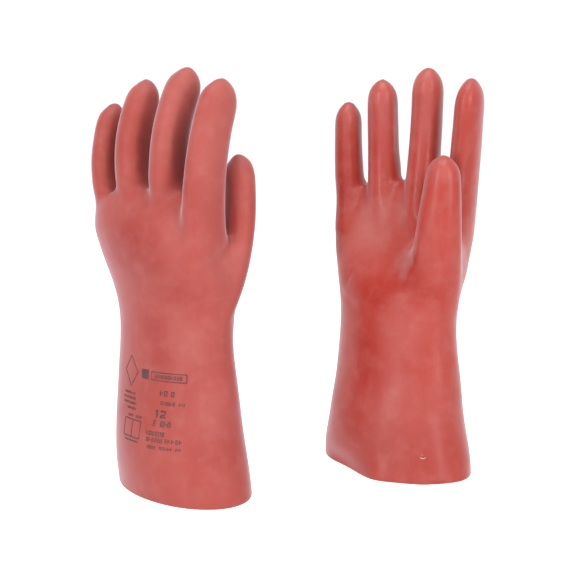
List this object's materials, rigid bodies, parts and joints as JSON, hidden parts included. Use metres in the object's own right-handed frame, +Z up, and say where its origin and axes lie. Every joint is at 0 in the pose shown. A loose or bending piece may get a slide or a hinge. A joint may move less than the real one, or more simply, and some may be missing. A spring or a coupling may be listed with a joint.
{
  "type": "electrical insulating gloves",
  "caption": "Pair of long flared-cuff insulating rubber gloves standing on their cuffs: layered dipped latex, red outside, natural inside, stamped cuffs.",
  "frame": {"origin": "bottom centre of the pair's bounding box: on the plane that both cuffs stand on, midway between the outermost points of the two gloves", "axes": "+Z up, from the cuffs' edges to the finger tips; +X from the left glove to the right glove; -Y towards the side that shows the left glove's back and the right glove's palm"},
  "size_m": [0.3351, 0.1971, 0.3552],
  "materials": {
    "red_rubber": "satin dipped latex, salmon red, with a faint pale bloom",
    "natural_rubber": "satin natural latex",
    "ink": "flat stamped ink"
  },
  "bodies": {
    "left_glove": {"left_outer_layer": "red_rubber", "left_inner_layer": "natural_rubber", "left_panel_print": "ink", "left_rating_print": "ink", "left_symbol_print": "ink", "left_date_grid_print": "ink"},
    "right_glove": {"right_outer_layer": "red_rubber", "right_inner_layer": "natural_rubber", "right_panel_print": "ink", "right_rating_print": "ink", "right_symbol_print": "ink", "right_date_grid_print": "ink"}
  },
  "joints": [
    {"name": "right_glove_lift", "type": "slide", "parent": "left_glove", "child": "right_glove", "axis": [0, 0, 1], "range_m": [0, 0.4]}
  ]
}
